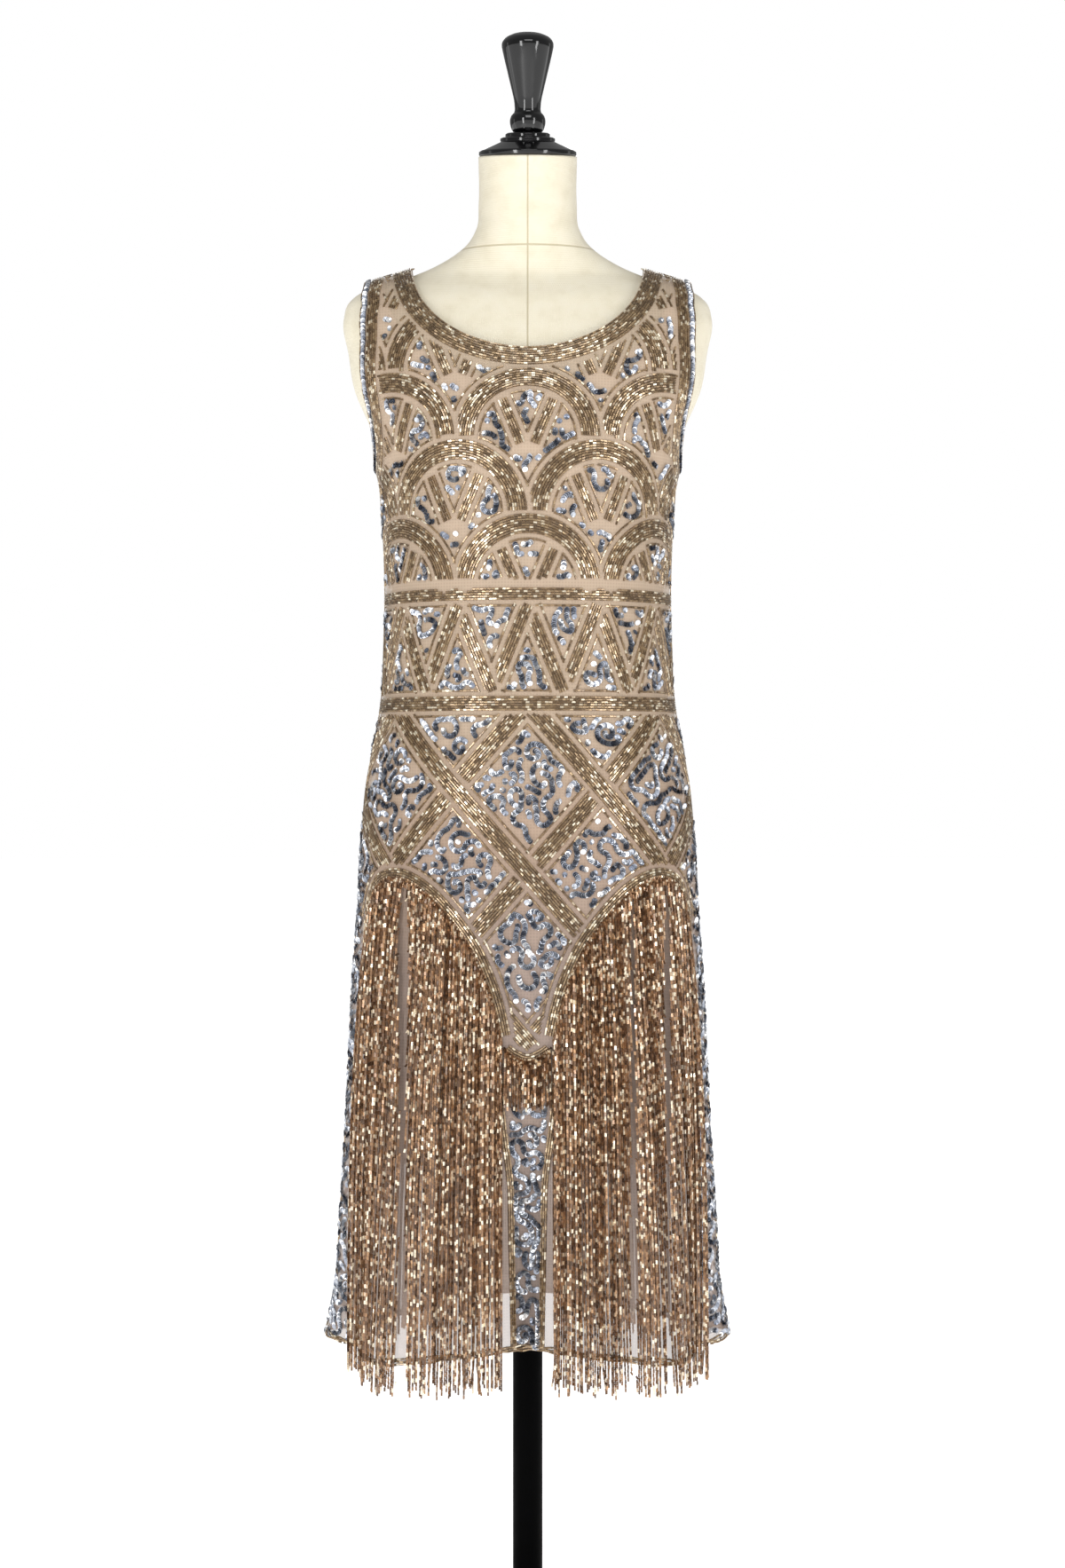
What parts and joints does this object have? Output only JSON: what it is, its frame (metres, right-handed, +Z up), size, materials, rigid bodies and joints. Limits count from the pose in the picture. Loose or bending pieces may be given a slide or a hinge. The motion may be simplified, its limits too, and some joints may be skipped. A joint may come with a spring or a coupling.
{
  "type": "evening gown on a dress form",
  "caption": "Sleeveless scoop-necked beaded evening gown with long arched bead fringe at the hips, on a limbless dress form with a finial, a pole and a round foot.",
  "frame": {"origin": "on the floor, under the pole's axis, at the centre of the round foot", "axes": "+Z up, -Y out of the gown's front, +X towards the right of the picture"},
  "size_m": [0.4244, 0.412, 1.7244],
  "materials": {
    "beaded_net": "sheer nude net covered in metal-lined glass beads and cup sequins",
    "nude_lining": "matte woven slip",
    "bugle_beads": "glossy, copper-lined",
    "form_canvas": "stretched cream canvas over a hard shell",
    "black_lacquer": "turned wood, gloss black lacquer",
    "black_enamel": "satin black enamel"
  },
  "bodies": {
    "root": {"gown_front": "beaded_net", "gown_back": "beaded_net", "slip_front": "nude_lining", "slip_back": "nude_lining", "fringe_front_left": "bugle_beads", "fringe_front_right": "bugle_beads", "fringe_front_tier": "bugle_beads", "fringe_back_left": "bugle_beads", "fringe_back_right": "bugle_beads", "fringe_back_tier": "bugle_beads", "form_body": "form_canvas", "neck_cap": "black_lacquer", "finial": "black_lacquer", "stand_pole": "black_enamel", "stand_foot": "black_enamel"}
  },
  "joints": []
}
